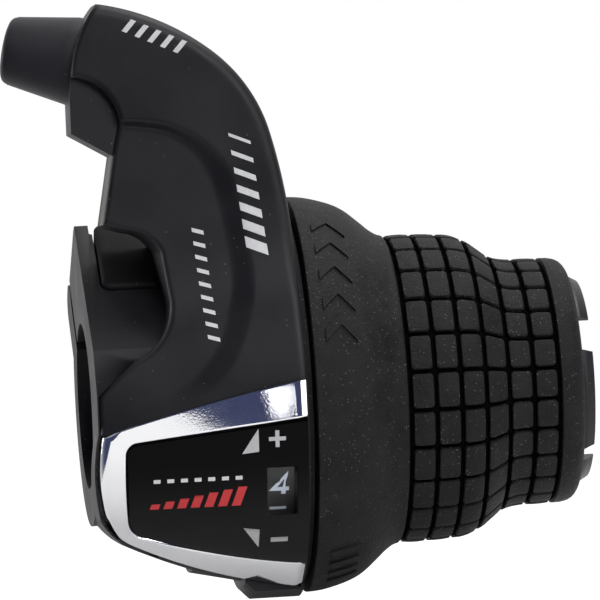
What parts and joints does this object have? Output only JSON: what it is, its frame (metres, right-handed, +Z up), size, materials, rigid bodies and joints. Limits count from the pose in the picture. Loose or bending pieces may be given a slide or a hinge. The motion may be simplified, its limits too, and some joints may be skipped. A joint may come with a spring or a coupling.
{
  "type": "twist grip shifter",
  "caption": "Bicycle gear shifter that turns on the handlebar: split clamp, cable arm with outlet, gear window with numbers, and a rubber grip with a bell and blocks.",
  "frame": {"origin": "on the handlebar's axis, in the clamp's end face, away from the grip", "axes": "+X along the handlebar towards the grip's end, -Y towards the rider's view of the gear window, +Z up the cable arm"},
  "size_m": [0.0772, 0.0545, 0.0804],
  "materials": {
    "black_moulding": "fine matte black moulding",
    "bright_trim": "bright plated",
    "smoked_lens": "gloss black with a smoked window",
    "steel": "zinc plated",
    "pale_liner": "natural low-friction plastic",
    "grip_rubber": "matte black rubber with a fine sparkle",
    "sleeve_plastic": "plain black plastic",
    "number_band": "dark grey with pale numbers"
  },
  "bodies": {
    "housing": {"housing": "black_moulding", "front_cover": "black_moulding", "cable_outlet": "black_moulding", "cable_guide": "pale_liner", "hole_cap": "black_moulding", "indicator_bezel": "bright_trim", "indicator_lens": "smoked_lens", "clamp_bolt": "steel", "clamp_washer": "steel", "clamp_nut": "steel", "cover_screws": "steel", "thrust_washer": "pale_liner", "dust_seal": "grip_rubber", "retaining_ring": "steel", "detent_spring": "steel"},
    "grip": {"grip_sleeve": "sleeve_plastic", "rubber_grip": "grip_rubber", "cable_spool": "sleeve_plastic", "number_ring": "number_band", "detent_ring": "sleeve_plastic"}
  },
  "joints": [
    {"name": "grip_twist", "type": "hinge", "parent": "housing", "child": "grip", "pos_m": [0, 0, 0], "axis": [1, 0, 0], "range_deg": [-60, 60], "deforming": ["detent_spring"]}
  ]
}
